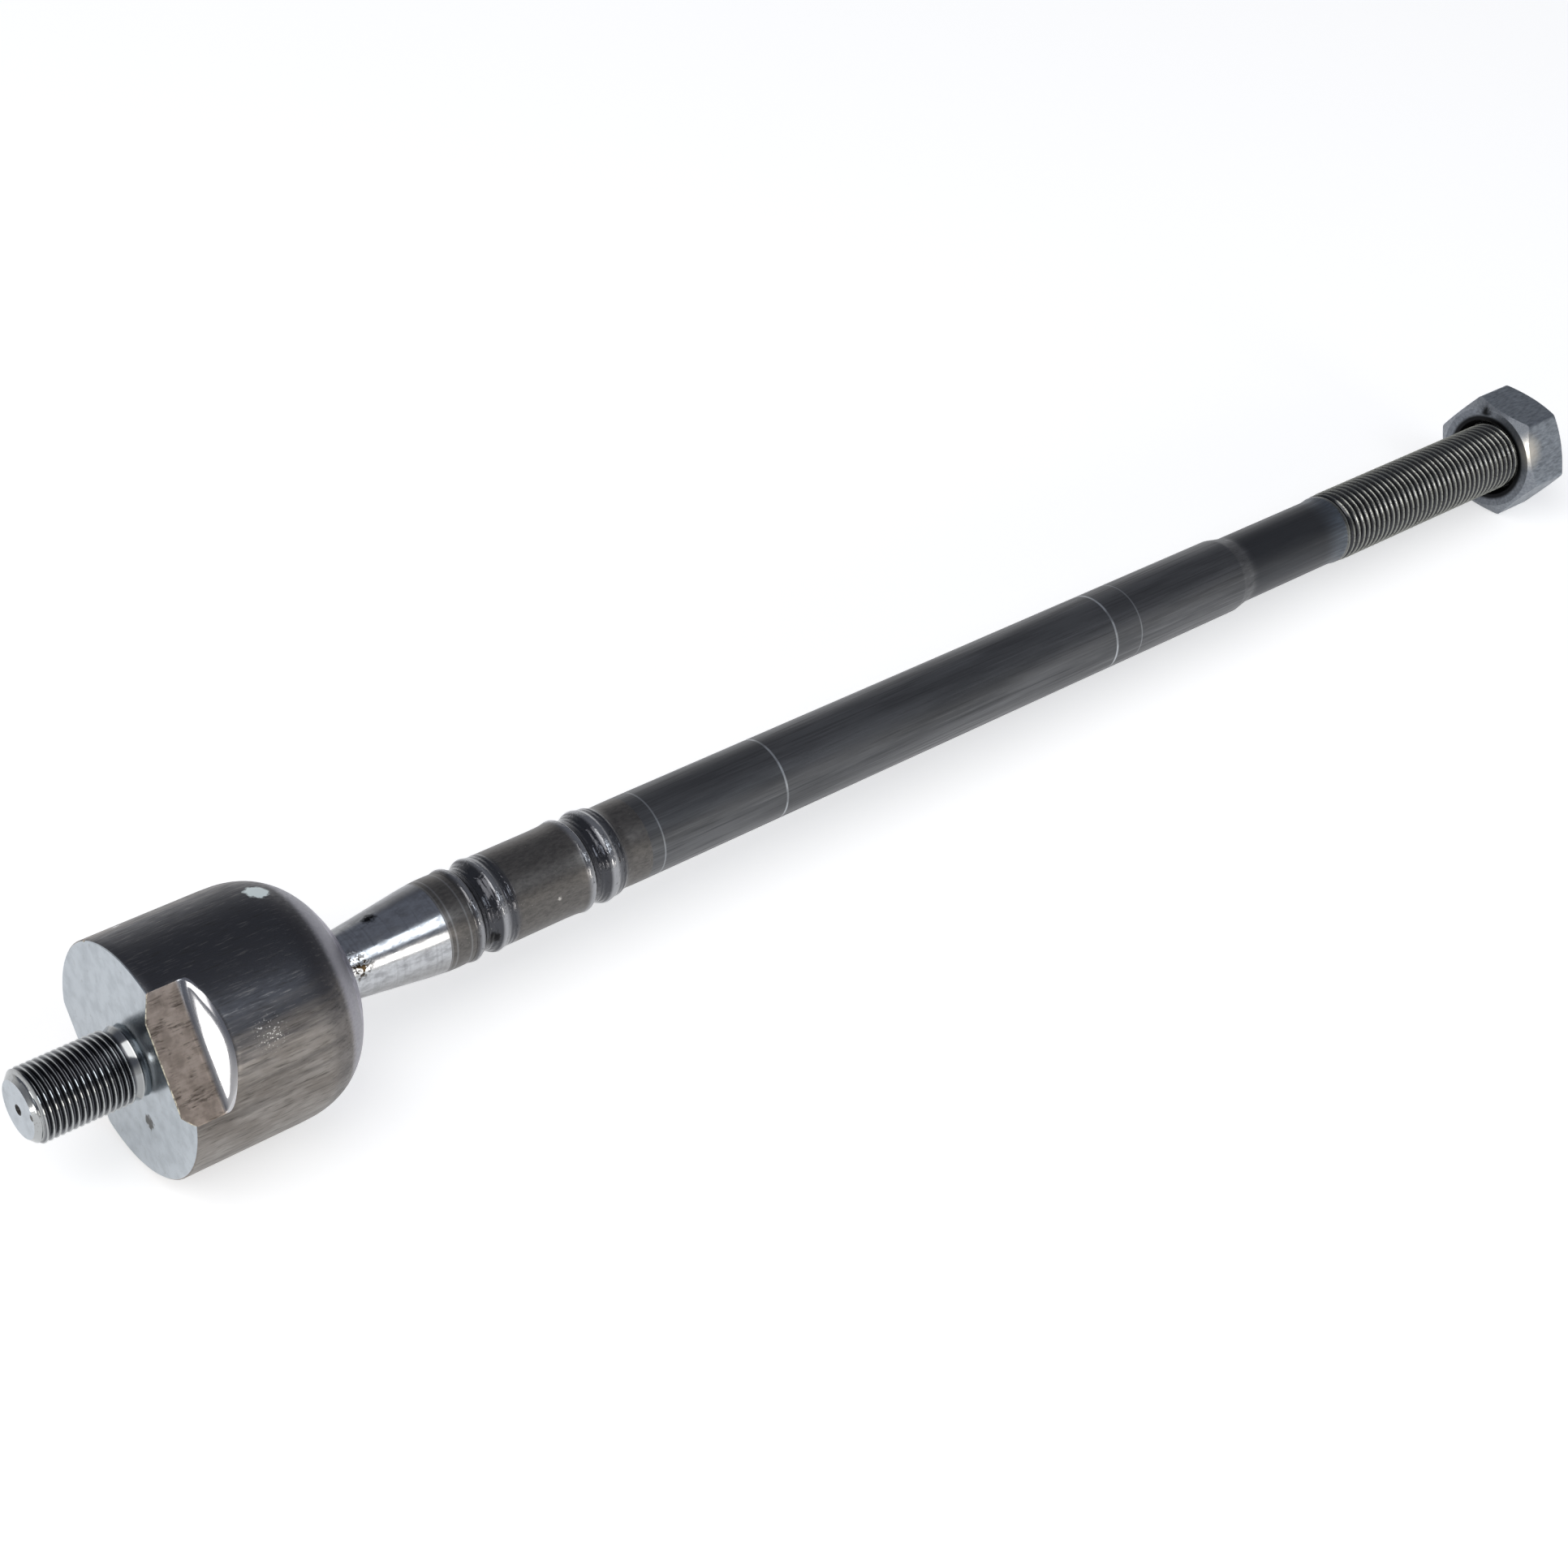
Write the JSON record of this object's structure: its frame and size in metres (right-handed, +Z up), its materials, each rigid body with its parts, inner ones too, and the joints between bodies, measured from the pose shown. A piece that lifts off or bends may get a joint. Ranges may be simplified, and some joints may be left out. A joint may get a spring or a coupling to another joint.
{
  "type": "inner tie rod",
  "caption": "Steering rack inner tie rod: ball joint housing with a threaded stud, a long rod with boot grooves and a threaded outer end with a hexagon lock nut.",
  "frame": {"origin": "middle of the assembly's box, on the surface that it lies on", "axes": "+X from the rack stud to the lock nut along the assembly's box, +Z up; the assembly's own axis slopes 1.483 degrees down towards +X, because it lies on the round of its housing and a flat of its nut"},
  "size_m": [0.3482, 0.038, 0.0385],
  "materials": {
    "forged_steel": "dark phosphated forging, lightly oiled",
    "drawn_steel": "dark phosphated drawn bar, polished neck, lightly oiled",
    "nut_steel": "blue-grey phosphated, turned faces",
    "acetal": "natural acetal, greased",
    "spring_steel": "plain spring steel"
  },
  "bodies": {
    "housing": {"housing": "forged_steel", "disc_spring": "spring_steel"},
    "seats": {"rear_ball_seat": "acetal", "front_ball_seat": "acetal"},
    "rod": {"tie_rod": "drawn_steel"},
    "nut": {"lock_nut": "nut_steel"}
  },
  "joints": [
    {"name": "ball_turn", "type": "hinge", "parent": "housing", "child": "seats", "pos_m": [-0.13354, 0, 0.01892], "axis": [0.9997, 0, -0.0259], "continuous": true},
    {"name": "ball_swing", "type": "hinge", "parent": "seats", "child": "rod", "pos_m": [-0.13354, 0, 0.01892], "axis": [0, 1, 0], "range_deg": [-25, 25]},
    {"name": "nut_turn", "type": "hinge", "parent": "rod", "child": "nut", "pos_m": [0.16746, 0, 0.01113], "axis": [0.9997, 0, -0.0259], "continuous": true}
  ]
}
